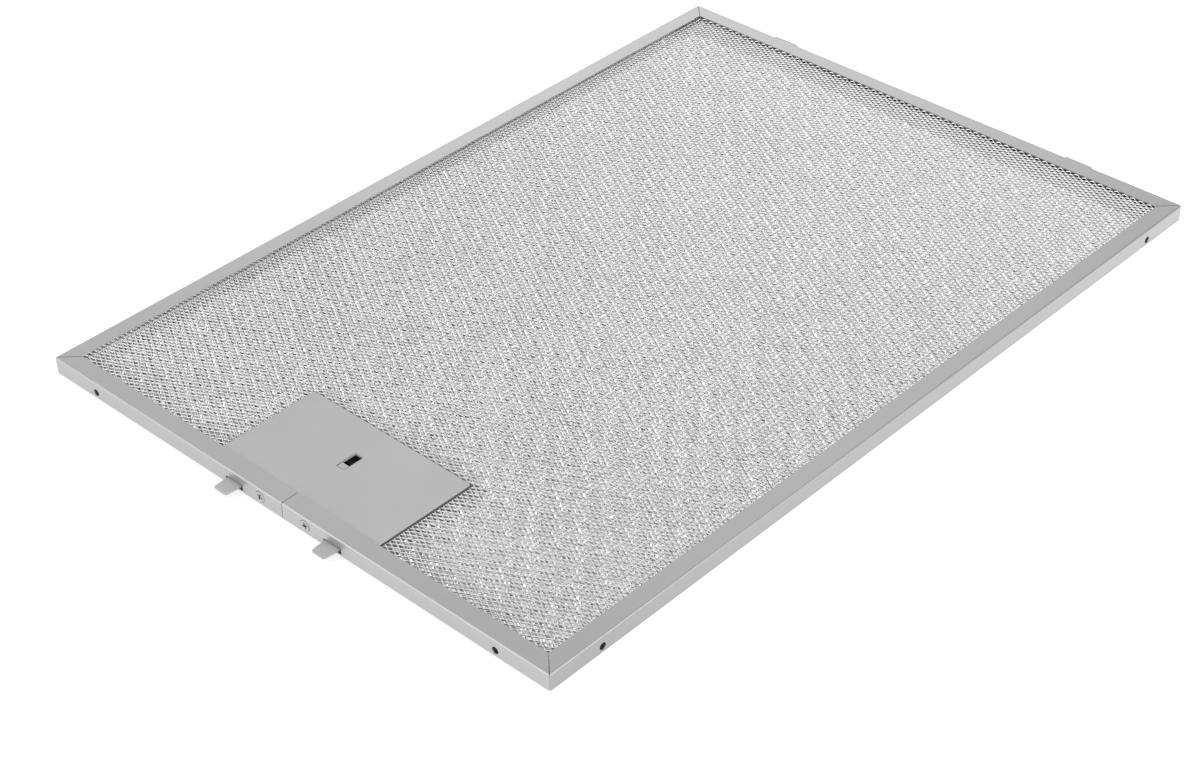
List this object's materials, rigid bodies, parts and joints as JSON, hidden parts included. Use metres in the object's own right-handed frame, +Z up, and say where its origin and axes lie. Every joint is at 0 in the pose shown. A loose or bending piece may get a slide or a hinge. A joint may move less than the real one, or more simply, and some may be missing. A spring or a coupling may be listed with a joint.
{
  "type": "cooker hood grease filter",
  "caption": "Flat rectangular grease filter: folded aluminium rail frame around layered expanded-metal mesh, with a sprung sliding finger latch on one short side and fixed tabs on the other.",
  "frame": {"origin": "centre of the rail rectangle, on the plane that the lower flanges rest on", "axes": "+X across the latch side, +Y from the latch side to the side with the fixed tabs, +Z up through the clean side with the plain latch cover"},
  "size_m": [0.2834, 0.4103, 0.008],
  "materials": {
    "rail_aluminium": "satin",
    "mesh_aluminium": "bright expanded mesh",
    "media_aluminium": "bright expanded mesh",
    "latch_plastic": "satin silver grey",
    "slider_plastic": "satin silver grey",
    "spring_steel": "bright drawn wire",
    "screw_steel": "plated"
  },
  "bodies": {
    "cassette": {"frame_channel": "rail_aluminium", "upper_face_mesh": "mesh_aluminium", "lower_face_mesh": "mesh_aluminium", "media_layer_lower": "media_aluminium", "media_layer_middle": "media_aluminium", "media_layer_upper": "media_aluminium", "latch_cover": "latch_plastic", "latch_base": "latch_plastic", "latch_spring_left": "spring_steel", "latch_spring_right": "spring_steel", "housing_screws": "screw_steel"},
    "slider": {"latch_slider": "slider_plastic"}
  },
  "joints": [
    {"name": "latch_slide", "type": "slide", "parent": "cassette", "child": "slider", "axis": [0, 1, 0], "range_m": [0, 0.0068], "stiffness_N_per_m": 300, "springref_m": -0.006, "deforming": ["latch_spring_left", "latch_spring_right"]}
  ]
}
